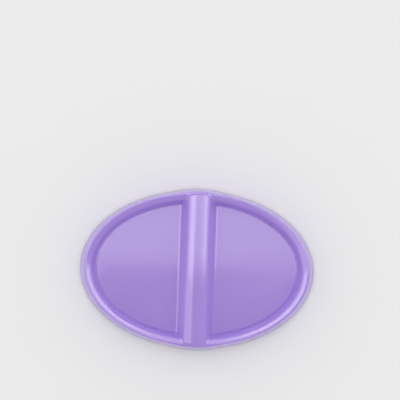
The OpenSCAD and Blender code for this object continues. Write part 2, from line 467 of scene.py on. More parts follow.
def draw_mould_texture(sheet: Sheet, dial: Socket, place: Socket) -> list[Socket]:
    """Draws the grain of a mould, as fine as the dial says, and the slow waves of shrinkage."""
    return [sheet.noise(place, dial, 3.0, 0.55), sheet.noise(place, 24.0, 1.0)]


def draw_worn_edges(sheet: Sheet, dial: Socket, place: Socket) -> list[Socket]:
    """Draws a mask that is strong on outer edges, where a piece is rubbed first, in patches.

    Args:
        sheet: the group's sheet.
        dial: how strong the mask is.
        place: where a point lies on the piece.

    Returns:
        The mask.
    """
    edge = sheet.ramp(sheet.node("ShaderNodeNewGeometry").outputs["Pointiness"], 0.52, 0.62)
    patch = sheet.ramp(sheet.noise(place, 220.0, 4.0), 0.35, 0.6)
    return [sheet.math("MULTIPLY", sheet.math("MULTIPLY", edge, patch), dial, clamp=True)]


HANDLING_MARKS = Effect("handling marks", "Amount", ("Scratches", "Smears"), draw_handling_marks)
MOULD_TEXTURE = Effect("mould texture", "Grain", ("Grain", "Waves"), draw_mould_texture)
WORN_EDGES = Effect("worn edges", "Amount", ("Mask",), draw_worn_edges)


@dataclass(frozen=True)
class Finish:
    """What every finish has: a name, the record's slot, a linear colour and a roughness."""

    name: str
    slot: Slot
    colour: Point
    roughness: float

    def material(self) -> bpy.types.Material:
        """Builds the material once, and gives the same one after that.

        Returns:
            The material.
        """
        if self.name not in bpy.data.materials:
            sheet = Sheet.of(bpy.data.materials.new(self.name))
            plain = {"Base Color": (*self.colour, 1.0), "Roughness": self.roughness}
            shader = sheet.node("ShaderNodeBsdfPrincipled", plain)
            sheet.node("ShaderNodeOutputMaterial", {"Surface": shader.outputs["BSDF"]})
            sheet.fill(shader, self.detail(sheet, sheet.object_place()))
        return bpy.data.materials[self.name]

    def detail(self, sheet: Sheet, place: Socket) -> dict[str, object]:
        """What the finish adds to the plain shader, by the shader's inputs."""
        return {}

    def shade(self, sheet: Sheet, amount: Socket, low: float, high: float) -> Socket:
        """The finish's colour, made darker or lighter over the surface.

        Args:
            sheet: the material's sheet.
            amount: a value from 0 to 1.
            low: what the colour is multiplied by at 0.
            high: what it is multiplied by at 1.

        Returns:
            The colour.
        """
        factor = sheet.node("ShaderNodeMapRange", {"Value": amount, "To Min": low, "To Max": high})
        values = {0: self.colour, 3: factor.outputs["Result"]}
        return sheet.node("ShaderNodeVectorMath", values, operation="SCALE").outputs[0]


@dataclass(frozen=True)
class MouldedPlastic(Finish):
    """A moulding: the grain of its mould, slow waves, smears, hairlines and rubbed edges.

    The tint is a noise's scale and detail, and what the colour is multiplied by at its two ends.
    """

    grain: float
    depth: float
    scratched: float
    worn: float
    tint: tuple[float, float, float, float]
    dulling: Point
    heights: Point

    def detail(self, sheet: Sheet, place: Socket) -> dict[str, object]:
        """Adds smears, scratches and rubbed edges to the polish, and waves and grain to the relief.

        Args:
            sheet: the material's sheet.
            place: where a point lies on the piece.

        Returns:
            The shader's inputs.
        """
        scratches, smears = HANDLING_MARKS.placed(sheet, self.scratched)
        grain, waves = MOULD_TEXTURE.placed(sheet, self.grain)
        (edges,) = WORN_EDGES.placed(sheet, self.worn)
        scale, rounds, low, high = self.tint
        dulled = sheet.total(self.roughness, *zip((smears, scratches, edges), self.dulling))
        height = sheet.total(0.0, *zip((waves, grain, scratches), self.heights))
        return {"Base Color": self.shade(sheet, sheet.noise(place, scale, rounds), low, high),
                "Roughness": dulled,
                "Normal": sheet.relief(height, self.depth)}


@dataclass(frozen=True)
class Rubber(Finish):
    """Soft grey rubber with bloom and dust on it."""

    grain: float = 1500.0
    depth: float = 0.05
    worn: float = 1.0

    def detail(self, sheet: Sheet, place: Socket) -> dict[str, object]:
        """Adds a fine grain and pale dust.

        Args:
            sheet: the material's sheet.
            place: where a point lies on the piece.

        Returns:
            The shader's inputs.
        """
        grain, _ = MOULD_TEXTURE.placed(sheet, self.grain)
        (edges,) = WORN_EDGES.placed(sheet, self.worn)
        dust = sheet.ramp(sheet.noise(place, 420.0, 5.0, 0.7), 0.5, 0.72)
        amount = sheet.math("MULTIPLY_ADD", edges, 0.6, dust, clamp=True)
        return {"Base Color": self.shade(sheet, amount, 0.85, 1.7),
                "Normal": sheet.relief(grain, self.depth)}


@dataclass(frozen=True)
class Ferrite(Finish):
    """Pressed and sintered ferrite: dark, dry and slightly porous."""

    pores: float = 1400.0
    depth: float = 0.03

    def detail(self, sheet: Sheet, place: Socket) -> dict[str, object]:
        """Adds pores, with painted shade in them, and grinding lines.

        Args:
            sheet: the material's sheet.
            place: where a point lies on the piece.

        Returns:
            The shader's inputs.
        """
        pores_and_pore_shade = sheet.ramp(sheet.cells(place, self.pores), 0.05, 0.35)
        ground = sheet.noise(sheet.drawn_out(place, 30.0), 160.0)
        # The colour is 0.7 in the pores and 1.15 between them: painted shade in the pores, which the
        # relief also sinks.
        return {"Base Color": self.shade(sheet, pores_and_pore_shade, 0.7, 1.15),
                "Normal": sheet.relief(sheet.total(ground, (pores_and_pore_shade, 0.6)), self.depth)}


@dataclass(frozen=True)
class PlatedSteel(Finish):
    """Plated steel, with the drag lines of rolling or turning."""

    lines: float = 60.0
    depth: float = 0.01

    def detail(self, sheet: Sheet, place: Socket) -> dict[str, object]:
        """Adds drag lines, and dull patches in the plating.

        Args:
            sheet: the material's sheet.
            place: where a point lies on the piece.

        Returns:
            The shader's inputs.
        """
        drag = sheet.noise(sheet.drawn_out(place, self.lines), 120.0, 3.0)
        patch = sheet.noise(place, 140.0, 3.0)
        return {"Metallic": 1.0,
                "Roughness": sheet.total(self.roughness, (patch, 0.16)),
                "Base Color": self.shade(sheet, patch, 0.88, 1.08),
                "Normal": sheet.relief(drag, self.depth)}


@dataclass(frozen=True)
class Foam(Finish):
    """Closed-cell foam with its cells cut open."""

    cells: float = 2600.0
    depth: float = 0.12

    def detail(self, sheet: Sheet, place: Socket) -> dict[str, object]:
        """Adds the cells as relief, and painted shade in their open hollows.

        Args:
            sheet: the material's sheet.
            place: where a point lies on the piece.

        Returns:
            The shader's inputs.
        """
        cell_walls_and_hollow_shade = sheet.ramp(sheet.cells(place, self.cells), 0.1, 0.6)
        # The colour darkens towards each cell's middle: painted shade in the open cells, which the
        # relief also sinks.
        return {"Base Color": self.shade(sheet, cell_walls_and_hollow_shade, 0.7, 1.05),
                "Normal": sheet.relief(cell_walls_and_hollow_shade, self.depth)}


LAVENDER = (0.318, 0.204, 0.600)
PALE_LAVENDER = (0.315, 0.212, 0.575)
SHELL_GLOSS = MouldedPlastic(
    "polished lavender plastic", Slot.SHELL, LAVENDER, 0.09, grain=1800.0, depth=0.012,
    scratched=0.5, worn=0.35, tint=(14.0, 2.0, 0.975, 1.025), dulling=(0.05, 0.14, 0.12),
    heights=(1.0, 0.012, -0.02))
BASE_GRAIN = MouldedPlastic(
    "grained lavender plastic", Slot.BASE, PALE_LAVENDER, 0.46, grain=2600.0, depth=0.035,
    scratched=0.8, worn=1.0, tint=(24.0, 1.0, 0.94, 1.03), dulling=(-0.07, 0.0, -0.12),
    heights=(0.0, 1.0, -0.4))
FOOT_RUBBER = Rubber("grey rubber", Slot.RUBBER, (0.05, 0.05, 0.055), 0.72)
MAGNET_FERRITE = Ferrite("sintered ferrite", Slot.FERRITE, (0.022, 0.022, 0.025), 0.55)
ZINC_SHEET = PlatedSteel("zinc plated sheet", Slot.ZINC, (0.62, 0.63, 0.66), 0.3)
NICKEL_SCREW = PlatedSteel("nickel plated screw", Slot.SCREW, (0.66, 0.64, 0.60), 0.2, 8.0)
PAD_FOAM = Foam("white foam", Slot.FOAM, (0.72, 0.71, 0.68), 0.85)


def dress(piece: Piece, node: str, finish: Finish) -> Piece:
    """Gives a piece its finish and tells the frame what it stands for.

    Args:
        piece: the finished mesh.
        node: the CAD node that it replaces.
        finish: its finish.

    Returns:
        The same piece.
    """
    piece.data.materials.clear()
    piece.data.materials.append(finish.material())
    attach(piece, BODY)
    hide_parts(node)
    return piece


# The dish


def spaced(start: float, *runs: tuple[float, int]) -> Array:
    """Places along a line, closer in some runs than in others.

    Args:
        start: the first place.
        runs: where each run ends, and how many steps it has.

    Returns:
        The places in order.
    """
    places = [np.array([start])]
    for end, steps in runs:
        places.append(np.linspace(start, end, steps + 1)[1:])
        start = end
    return np.concatenate(places)


@dataclass
class Dish:
    """The one-piece moulding: skirt, lip, dish, groove and handle bar.

    The bar, the dish and the lip run into each other in fillets that change along their length,
    which no operator gives. So the heights of a primitive grid are worked out from the distance to
    the joined surfaces. A point of the grid is known by X, Y, Z and its track, which is how far
    outside the lip's edge its oval crosses the X axis.
    """

    rim: Pair = (57.0, 38.4)
    crest: Pair = (56.1, 37.75)
    floor_edge: Pair = (51.5, 33.5)
    rim_top: float = 14.4
    plate_bottom: float = 1.2
    skirt_flare: float = 3.7
    lip_outer: float = 0.8
    roll_width: float = 3.6
    roll_height: float = 3.4
    roll_start: float = 26.0
    wall_curve: float = 0.15
    floor_top: float = 10.0
    groove_depth: float = 0.35
    groove_width: float = 0.9
    groove_fall: float = 0.62
    bar_rise: float = 1.8
    bar_top_half: float = 5.4
    bar_foot_half: float = 9.0
    bar_crown: float = 0.5
    bar_crown_half: float = 4.8
    bar_edge: float = 1.0
    bar_corner_edge: float = 0.8
    bar_end_edge: float = 0.7
    bar_fillet: float = 1.7
    bar_end_flat: float = 0.8
    bar_end: float = 37.9
    bar_lean: float = 10.0
    swell_reach: float = 0.8
    swell_radius: float = 24.0
    swell_blend: float = 1.2
    wall: float = 2.2
    floor_under: float = 8.4
    floor_margin: float = 1.6
    floor_step: float = 1.4
    room_top: float = 10.4
    seam_x: float = 18.0
    seam_inset: float = 1.2
    halvings: int = 30
    finish: Finish = SHELL_GLOSS

    def oval(self, x: Array, track: Array) -> Array:
        """The oval of a track, without the swelling at the bar's ends.

        Args:
            x: X of the points.
            track: their tracks.

        Returns:
            Their Y.
        """
        rim, edge, crest, flare = self.rim, self.floor_edge, self.crest, self.skirt_flare
        tracks = [-rim[0], edge[0] - rim[0], crest[0] - rim[0], 0, flare]
        along = np.interp(track, tracks, [0, edge[0], crest[0], rim[0], rim[0] + flare])
        widest = rim[1] + flare * rim[1] / rim[0]
        across = np.interp(track, tracks, [0, edge[1], crest[1], rim[1], widest])
        return across * np.sqrt(np.maximum(1 - (x / np.maximum(along, TINY)) ** 2, 0))

    def outline(self, x: Array, track: Array) -> Array:
        """The oval with its swelling, which grows from the crest to the lip's edge.

        Args:
            x: X of the points.
            track: their tracks.

        Returns:
            Their Y.
        """
        oval = self.oval(x, track)
        squeeze = self.rim[1] / self.rim[0]
        centre = self.rim[1] + self.swell_reach - self.swell_radius * squeeze
        swell = (self.swell_radius + track) ** 2 - x**2
        bulge = np.where(swell > 0, centre + squeeze * np.sqrt(np.maximum(swell, 0)), 0)
        reach = np.maximum(self.swell_blend - np.abs(oval - bulge), 0) / self.swell_blend
        swollen = np.maximum(oval, bulge) + reach**2 * self.swell_blend / 4
        start = self.crest[0] - self.rim[0]
        grown = np.clip((track - start) / -start, 0, 1)
        return oval + (swollen - oval) * grown * grown * (3 - 2 * grown)

    def section(self) -> tuple[Array, Array]:
        """Draws the moulding's section without the bar, from the middle to the skirt's foot.

        Returns:
            The tracks and the heights of its points.
        """
        bottom = self.floor_top - self.groove_depth
        edge, crest = self.floor_edge[0] - self.rim[0], self.crest[0] - self.rim[0]
        dip = np.linspace(0, 1, 9)
        fall = self.groove_width * self.groove_fall * dip
        tracks = [-self.rim[0], *(edge - self.groove_width + fall)]
        sink = self.groove_depth * (1 - np.cos(np.pi * dip)) / 2
        heights = [self.floor_top, *(self.floor_top - sink)]
        turn = np.radians(np.linspace(self.roll_start, 90, 40))
        roll = crest - self.roll_width * np.cos(turn)
        top = self.rim_top - self.roll_height * (1 - np.sin(turn))
        foot = np.linspace(0, 1, 12)[:-1]
        climb = (1 - self.wall_curve) * foot + self.wall_curve * foot**2
        tracks += [*(edge + (roll[0] - edge) * foot), *roll]
        heights += [*(bottom + (top[0] - bottom) * climb), *top]
        turn = np.radians(np.linspace(90, 0, 16))[1:]
        tracks += [*(crest * (1 - np.cos(turn))), self.skirt_flare]
        heights += [*(self.rim_top - self.lip_outer * (1 - np.sin(turn))), self.plate_bottom]
        return np.array(tracks), np.array(heights)

    def side_lean(self) -> float:
        """Works out how the bar's side leans, from its foot to the rounding of its top edge.

        Returns:
            The angle from upright, in radians.
        """
        across = self.bar_foot_half - self.bar_top_half + self.bar_edge
        down = self.rim_top + self.bar_rise - self.bar_crown - self.bar_edge - self.floor_top
        return math.acos(self.bar_edge / math.hypot(across, down)) - math.atan2(down, across)

    def fillet_reach(self) -> float:
        """How far the fillet at the bar's foot reaches out over the floor."""
        return self.bar_fillet / math.tan(math.pi / 4 + self.side_lean() / 2)

    @staticmethod
    def meet(a: Array, b: Array, radius: float) -> Array:
        """Joins the distances of two bodies into that of what they share.

        Args:
            a: distances from the one, below zero inside it.
            b: distances from the other.
            radius: the rounding of the edge where their faces meet.

        Returns:
            The distances from what they share.
        """
        past = np.hypot(np.maximum(radius + a, 0), np.maximum(radius + b, 0))
        return np.minimum(-radius, np.maximum(a, b)) + past

    def join(self, a: Array, b: Array) -> Array:
        """Joins the distances of the dish and the bar into that of both together.

        The fillet between them is round where the bar's side meets the floor.

        Args:
            a: distances from the one, below zero inside it.
            b: distances from the other.

        Returns:
            The distances from the two as one.
        """
        over_a, over_b = self.bar_fillet - a, self.bar_fillet - b
        cosine = math.sin(self.side_lean())
        inside = (over_a > over_b * cosine) & (over_b > over_a * cosine)
        inside &= (over_a > 0) & (over_b > 0)
        square = np.maximum(over_a**2 + over_b**2 - 2 * over_a * over_b * cosine, 0)
        reach = np.sqrt(square / (1 - cosine**2))
        return np.where(inside, self.bar_fillet - reach, np.minimum(a, b))

    def corner_distance(self, x: Array, y: Array) -> Array:
        """Measures from the bar's outline seen from above.

        Args:
            x: how far the points are from the bar's middle along X.
            y: how far along Y.

        Returns:
            The distances, below zero inside it.
        """
        squeeze = self.rim[0] / self.rim[1]
        radius = self.bar_foot_half - self.bar_end_flat / 2 + self.fillet_reach()
        over_x = x - self.bar_end_flat / 2
        over_y = (y - self.bar_end) * squeeze + radius
        out_x, out_y = np.maximum(over_x, 0), np.maximum(over_y, 0)
        length = np.hypot(out_x, out_y)
        distance = length + np.minimum(np.maximum(over_x, over_y), 0) - radius
        share = np.where(length > TINY, out_y / np.maximum(length, TINY), 0)
        return distance / np.sqrt(1 - share**2 + (share * squeeze) ** 2)

    def bar_distance(self, x: Array, y: Array, z: Array) -> Array:
        """Measures from the bar's surface.

        Args:
            x: X of the points.
            y: their Y.
            z: their heights.

        Returns:
            The distances, below zero inside the bar.
        """
        lean, end_lean = self.side_lean(), math.radians(self.bar_lean)
        past, above = np.abs(x) - self.bar_foot_half, z - self.floor_top
        side = past * math.cos(lean) + above * math.sin(lean)
        fall = -2 * self.bar_crown * np.abs(x) / self.bar_crown_half**2
        over = z - (self.rim_top + self.bar_rise) + self.bar_crown * (x / self.bar_crown_half) ** 2
        end = np.abs(y) - self.bar_end + (z - self.rim_top) * math.tan(end_lean)
        body = self.meet(side, self.corner_distance(np.abs(x), np.abs(y)), self.bar_corner_edge)
        body = self.meet(body, over / np.hypot(1, fall), self.bar_edge)
        return self.meet(body, end * math.cos(end_lean), self.bar_end_edge)

    def dish_distance(self, track: Array, z: Array) -> Array:
        """Measures from the dish's surface without the bar.

        Args:
            track: the points' tracks.
            z: their heights.

        Returns:
            The distances, below zero under the surface.
        """
        tracks, heights = self.section()
        squeeze = (self.crest[1] - self.floor_edge[1]) / (self.crest[0] - self.floor_edge[0])
        chain = np.stack([tracks * squeeze, heights], axis=1)
        start, run = chain[:-1], np.diff(chain, axis=0)
        point = np.stack([track * squeeze, z], axis=1)[:, None, :]
        share = np.clip(((point - start) * run).sum(axis=2) / (run**2).sum(axis=1), 0, 1)
        gap = np.linalg.norm(point - start - share[:, :, None] * run, axis=2).min(axis=1)
        return np.copysign(gap, z - np.interp(track, tracks, heights))

    def surface(self, x: Array, y: Array, track: Array) -> Array:
        """Finds the upper side of the whole moulding, by halving the gap that holds it.

        Args:
            x: X of the points.
            y: their Y.
            track: their tracks.

        Returns:
            Their heights.
        """
        result = np.interp(track, *self.section())
        near = (np.abs(x) < self.seam_x - 2) & (y < self.bar_end + 2)
        x, y, track, low = x[near], y[near], track[near], result[near]
        high = np.full_like(low, self.rim_top + self.bar_rise + 1)
        for _ in range(self.halvings):
            middle = (low + high) / 2
            dish, bar = self.dish_distance(track, middle), self.bar_distance(x, y, middle)
            solid = self.join(dish, bar) < 0
            low, high = np.where(solid, middle, low), np.where(solid, high, middle)
        result[near] = (low + high) / 2
        return result

    def grid(self, name: str, x: Array, y: Array, track: Array) -> Piece:
        """Shapes a primitive grid over points of the moulding.

        Args:
            name: the piece's name.
            x: X of the grid's points.
            y: their Y.
            track: their tracks.

        Returns:
            The grid, in its place and at its heights.
        """
        rows, columns = x.shape
        deselect_all()
        bpy.ops.mesh.primitive_grid_add(x_subdivisions=columns - 1, y_subdivisions=rows - 1, size=1)
        piece = named(name)
        z = self.surface(x.ravel(), y.ravel(), track.ravel())
        points = np.stack([x.ravel(), y.ravel(), z], axis=1) * MM
        piece.data.vertices.foreach_set("co", points.astype(np.float32).ravel())
        piece.data.update()
        return piece

    def quarter(self) -> list[Piece]:
        """Covers the quarter at positive X and Y.

        Returns:
            Three grids: round the bar, the dish's side, and the floor.
        """
        rim = self.rim[0]
        edge, crest = self.floor_edge[0] - rim, self.crest[0] - rim
        groove = edge - self.groove_width
        seam, flat = groove - self.seam_inset, 44
        tracks = spaced(-rim, (seam, flat), (groove, 3), (edge, 9), (edge + 0.6, 6), (crest, 28),
                        (crest * 0.2, 6), (0, 7), (self.skirt_flare, 9))
        columns = spaced(0, (3.6, 9), (6.0, 20), (8.2, 10), (10.6, 20), (self.seam_x, 13))
        x, track = np.meshgrid(columns, tracks, indexing="ij")
        share = np.clip((track + rim) / (seam + rim), 0, 1)
        straight = self.outline(np.zeros_like(x), track)
        y = straight + (self.outline(x, track) - straight) * share**2 * (3 - 2 * share)
        centre = self.grid("bar_part", x, y, track)
        ring, turn = np.meshgrid(tracks[flat:], np.linspace(1, 0, flat + 1), indexing="ij")
        along = ring + rim
        start = np.arccos(self.seam_x / along)
        side_x = along * np.cos(start * turn)
        plain = self.oval(np.zeros_like(ring), ring)
        swollen = self.outline(np.full_like(ring, self.seam_x), ring) / np.sin(start)
        side_y = (plain + (swollen - plain) * turn**8) * np.sin(start * turn)
        side = self.grid("side_part", side_x, side_y, ring)
        rim_line = np.stack([side_x[0], side_y[0]])[:, None, ::-1]
        seam_line = np.stack([np.full(flat + 1, self.seam_x), y[-1, : flat + 1]])[:, None, :]
        across = np.linspace(0, 1, 15)[:, None]
        floor_x, floor_y = seam_line * (1 - across) + rim_line * across
        floor = self.grid("floor_part", floor_x, floor_y, np.full_like(floor_x, -rim))
        return [centre, side, floor]

    def close_underside(self, piece: Piece) -> None:
        """Turns the skirt's foot inwards and runs it up inside, to the underside of the floor.

        Args:
            piece: the moulding's open upper side.
        """
        foot = self.rim[0] + self.skirt_flare
        slope = self.skirt_flare / (self.rim_top - self.lip_outer - self.plate_bottom)
        inner = foot - self.wall
        high = inner - (self.room_top - self.plate_bottom) * slope
        under = self.floor_edge[0] + self.floor_margin
        steps = [(inner, self.plate_bottom), (high, self.room_top),
                 (under + self.floor_step, self.room_top),
                 *((under * share, self.floor_under) for share in (1, 0.5, 0.15))]
        with editing(piece, Kind.EDGE):
            bpy.ops.mesh.select_non_manifold(
                extend=False, use_wire=False, use_boundary=True, use_multi_face=False,
                use_non_contiguous=False, use_verts=False)
            size, level = foot, self.plate_bottom
            for radius, height in steps:
                bpy.ops.mesh.extrude_edges_move()
                factor = radius / size
                bpy.ops.transform.resize(value=(factor, factor, 1), center_override=(0, 0, 0))
                move((0, 0, height - level))
                size, level = radius, height
            bpy.ops.mesh.edge_face_add()
            face_outwards()

    def shape(self) -> Piece:
        """Joins the grids, mirrors them both ways and closes the underside.

        Returns:
            The moulding.
        """
        take(*self.quarter())
        bpy.ops.object.join()
        piece = named("dish_moulding")
        with editing(piece, Kind.VERT, everything=True):
            bpy.ops.mesh.remove_doubles(threshold=2e-6)
            bpy.ops.mesh.dissolve_degenerate(threshold=1e-7)
        mirror = piece.modifiers.new("mirror", "MIRROR")
        mirror.use_axis = (True, True, False)
        mirror.merge_threshold = 3e-6
        apply_modifiers(piece)
        with editing(piece, Kind.FACE):
            face_outwards()
        if sum(face.normal.z * face.area for face in piece.data.polygons) < 0:
            piece.data.flip_normals()
        self.close_underside(piece)
        return settle(piece, 40)

    def build(self) -> list[Piece]:
        """Models and dresses the moulding."""
        return [dress(self.shape(), "bowl_shell", self.finish)]


# What closes and carries it


@dataclass
class BasePlate:
    """The plate under it all: a fence round it, pads for the screws and recesses for the feet."""

    length_half: float = 58.25
    narrowing: float = 38.4 / 57
    bottom: float = 1.2
    top: float = 3.0
    fence: float = 1.2
    fence_top: float = 5.6
    fence_lean: float = 0.298
    edge: float = 0.3
    pad_radius: float = 4.0
    pad_top: float = 4.6
    pad_edge: float = 0.2
    bore_radius: float = 2.5
    bore_top: float = 2.8
    bore_flare: float = 0.25
    hole_radius: float = 1.3
    foot_recess: Pair = (5.15, 2.0)
    mark: Pair = (2.4, 1.32)
    screws: Sequence[Pair] = ((45.5, 0), (-45.5, 0), (0, 24), (0, -24))
    feet: Sequence[Pair] = ((38, 21), (-38, 21), (38, -21), (-38, -21))
    marks: Sequence[Pair] = ((22, 24), (-22, 24), (22, -24), (-22, -24), (27, 0), (-27, 0))
    finish: Finish = BASE_GRAIN

    def is_eased(self, edge: bmesh.types.BMEdge) -> bool:
        """Tests an edge for the round ones at the plate's bottom and the fence's top.

        Args:
            edge: one of the plate's edges.

        Returns:
            Whether it is one of them.
        """
        z = edge.verts[0].co.z
        outer = z < self.bottom * MM + TINY or z > self.fence_top * MM - TINY
        return is_sharp(edge) and outer and rise(edge) < TINY

    def fenced_plate(self) -> Piece:
        """Models the plate and its fence, with eased edges.

        Returns:
            The plate, whole.
        """
        deselect_all()
        bpy.ops.mesh.primitive_cylinder_add(
            vertices=160, radius=self.length_half * MM, depth=(self.top - self.bottom) * MM,
            location=(0, 0, (self.top + self.bottom) / 2 * MM))
        piece = settle(named("closing_plate"), None)
        with editing(piece, Kind.FACE, everything=True):
            bpy.ops.transform.resize(value=(1, self.narrowing, 1), center_override=(0, 0, 0))
            pick(piece, Kind.FACE, looks_up)
            bpy.ops.mesh.inset(thickness=self.fence * MM, depth=0)
            pick(piece, Kind.FACE, lambda f: looks_up(f) and len(f.verts) == 4)
            height = self.fence_top - self.top
            bpy.ops.mesh.extrude_region_move(TRANSFORM_OT_translate={"value": (0, 0, height * MM)})
            lean = 1 - height * self.fence_lean / self.length_half
            bpy.ops.transform.resize(value=(lean, lean, 1), center_override=(0, 0, 0))
        with editing(piece, Kind.EDGE):
            pick(piece, Kind.EDGE, self.is_eased)
            bpy.ops.mesh.bevel(offset=self.edge * MM, segments=3, profile=0.5)
        return piece

    def pad(self, at: Pair) -> Piece:
        """Models the pad that a screw passes through, sunk a little into the plate.

        Args:
            at: where the screw stands.

        Returns:
            The pad.
        """
        low, high, radius = self.top - 0.9, self.pad_top, self.pad_radius
        return lathed("pad", [(0, low), (radius, low), (radius, high - self.pad_edge),
                              (radius - self.pad_edge, high), (0, high)], at)

    def screw_cutter(self, at: Pair) -> Piece:
        """Models what cuts a screw's counterbore and clearance hole, with eased edges.

        Args:
            at: where the screw stands.

        Returns:
            The cutter.
        """
        low, bore, flare, top = self.bottom, self.bore_radius, self.bore_flare, self.pad_top
        return lathed("cutter", [
            (0, low - 1), (bore + flare + 1, low - 1), (bore + flare, low), (bore, low + flare),
            (bore, self.bore_top), (self.hole_radius, self.bore_top), (self.hole_radius, top - 0.2),
            (self.hole_radius + 0.4, top + 0.2), (0, top + 0.2)], at)

    def recess_cutter(self, at: Pair, radius: float, top: float, flare: float) -> Piece:
        """Models what cuts a round recess in the underside.

        Args:
            at: where the recess is.
            radius: its radius.
            top: the height that it reaches.
            flare: how far its edge is eased.

        Returns:
            The cutter, which also rounds the corner inside.
        """
        low = self.bottom
        corner = min(0.2, (top - low) * 0.4)
        return lathed("cutter", [
            (0, low - 1), (radius + flare + 1, low - 1), (radius + flare, low),
            (radius, low + min(flare, (top - low) / 2)), (radius, top - corner),
            (radius - corner, top), (0, top)], at)

    def build(self) -> list[Piece]:
        """Models the plate, cuts its holes and recesses, and dresses it.

        Returns:
            The plate.
        """
        piece = self.fenced_plate()
        carve(piece, [self.pad(at) for at in self.screws], Carving.ADD)
        carve(piece, [self.screw_cutter(at) for at in self.screws])
        carve(piece, [self.recess_cutter(at, *self.foot_recess, 0.2) for at in self.feet])
        carve(piece, [self.recess_cutter(at, *self.mark, 0.06) for at in self.marks])
        return [dress(settle(piece, 30), "base_plate", self.finish)]


def quarter_turn(centre: Pair, radius: float) -> list[Pair]:
    """Points of a round lower edge, from straight down to straight out."""
    turns = [math.radians(angle) for angle in range(-90, 1, 15)]
    return [(centre[0] + radius * math.cos(a), centre[1] + radius * math.sin(a)) for a in turns]


@dataclass
class RubberFeet:
    """The feet: rubber discs, each with a rounded tread and a shallow ring in it."""

    places: Sequence[Pair]
    radius: float = 5.0
    height: float = 2.0
    tread: float = 0.6
    edge: float = 0.25
    ring: Sequence[Pair] = ((0, 0.18), (1.6, 0.18), (1.9, 0.12), (2.1, 0))
    finish: Finish = FOOT_RUBBER

    def shape(self, name: str, at: Pair) -> Piece:
        """Models one foot.

        Args:
            name: the piece's name.
            at: where it stands.

        Returns:
            The foot at its place.
        """
        section = [*self.ring, *quarter_turn((self.radius - self.tread, self.tread), self.tread),
                   (self.radius, self.height - self.edge), (self.radius - self.edge, self.height),
                   (0, self.height)]
        return settle(lathed(name, section, at, 72))

    def build(self) -> list[Piece]:
        """Models and dresses every foot.

        Returns:
            The feet.
        """
        pieces = []
        for x, y in self.places:
            corner = f"{'back' if y > 0 else 'front'}_{'right' if x > 0 else 'left'}"
            foot = self.shape(f"rubber_foot_{corner}", (x, y))
            pieces.append(dress(foot, f"foot_{corner}", self.finish))
        return pieces


@dataclass
class CoverScrews:
    """The pan-head self-tapping screws, heads down, with a cross recess and a coarse thread."""

    places: Sequence[Pair]
    seat: float = 2.8
    head_radius: float = 2.1
    head_height: float = 1.4
    head_edge: float = 0.6
    recess: Point = (2.5, 0.7, 1.6)
    core_radius: float = 0.82
    thread_radius: float = 1.1
    thread_root: float = 0.12
    thread_half: float = 0.2
    thread_start: float = 0.45
    length: float = 5.0
    point: float = 1.8
    pitch: float = 0.8
    finish: Finish = NICKEL_SCREW

    def recess_blade(self, turn: float) -> Piece:
        """Models one of the two tapered blades that make the cross recess.

        Args:
            turn: which way it points, in degrees.

        Returns:
            The blade, in the head of a screw at the middle.
        """
        foot = (0, 0, (self.seat - self.head_height) * MM)
        deselect_all()
        bpy.ops.mesh.primitive_cube_add(size=1, location=foot)
        blade = named("blade")
        with editing(blade, Kind.FACE, everything=True):
            sides = [side * MM for side in self.recess]
            bpy.ops.transform.resize(value=sides, center_override=foot)
            pick(blade, Kind.FACE, looks_up)
            bpy.ops.transform.resize(value=(0.5, 0.8, 1), center_override=(0, 0, 0))
            pick_all()
            bpy.ops.transform.rotate(
                value=math.radians(turn), orient_axis="Z", center_override=(0, 0, 0))
        return blade

    def thread(self) -> Piece:
        """Models the thread: a small ridge that climbs round the core.

        Returns:
            The ridge, round a screw at the middle.
        """
        turns = (self.length - self.point * 0.55 - 0.5) / self.pitch
        start, root = self.seat + self.thread_start, self.core_radius - self.thread_root
        half = self.thread_half
        ridge = drawn_chain("thread", [(root, start), (self.thread_radius, start + half),
                                       (root, start + 2 * half)])
        with editing(ridge, Kind.VERT, everything=True):
            bpy.ops.mesh.edge_face_add()
        climb = ridge.modifiers.new("climb", "SCREW")
        climb.axis = "Z"
        climb.angle = math.tau * turns
        climb.screw_offset = self.pitch * turns * MM
        climb.steps = climb.render_steps = int(20 * turns)
        climb.use_merge_vertices = False
        apply_modifiers(ridge)
        with editing(ridge, Kind.FACE):
            face_outwards()
        return ridge

    def shape(self, name: str, at: Pair) -> Piece:
        """Models one screw.

        Args:
            name: the piece's name.
            at: where it stands.

        Returns:
            The screw at its place.
        """
        low, tip, core = self.seat - self.head_height, self.seat + self.length, self.core_radius
        head = (self.head_radius - self.head_edge, low + self.head_edge)
        section = [(0, low), *quarter_turn(head, self.head_edge),
                   (self.head_radius, self.seat - 0.1), (self.head_radius - 0.1, self.seat),
                   (core + 0.2, self.seat), (core, self.seat + 0.25), (core, tip - self.point),
                   (core * 0.55, tip - self.point * 0.4), (0, tip)]
        piece = lathed(name, section, steps=40)
        carve(piece, [self.recess_blade(turn) for turn in (0.0, 90.0)])
        take(piece, self.thread())
        bpy.ops.object.join()
        with editing(piece, Kind.VERT, everything=True):
            move((*at, 0))
        return settle(piece, 35)

    def build(self) -> list[Piece]:
        """Models and dresses every screw."""
        return [dress(self.shape(f"cover_screw_{number}", at), "cover_screws", self.finish)
                for number, at in enumerate(self.places, 1)]


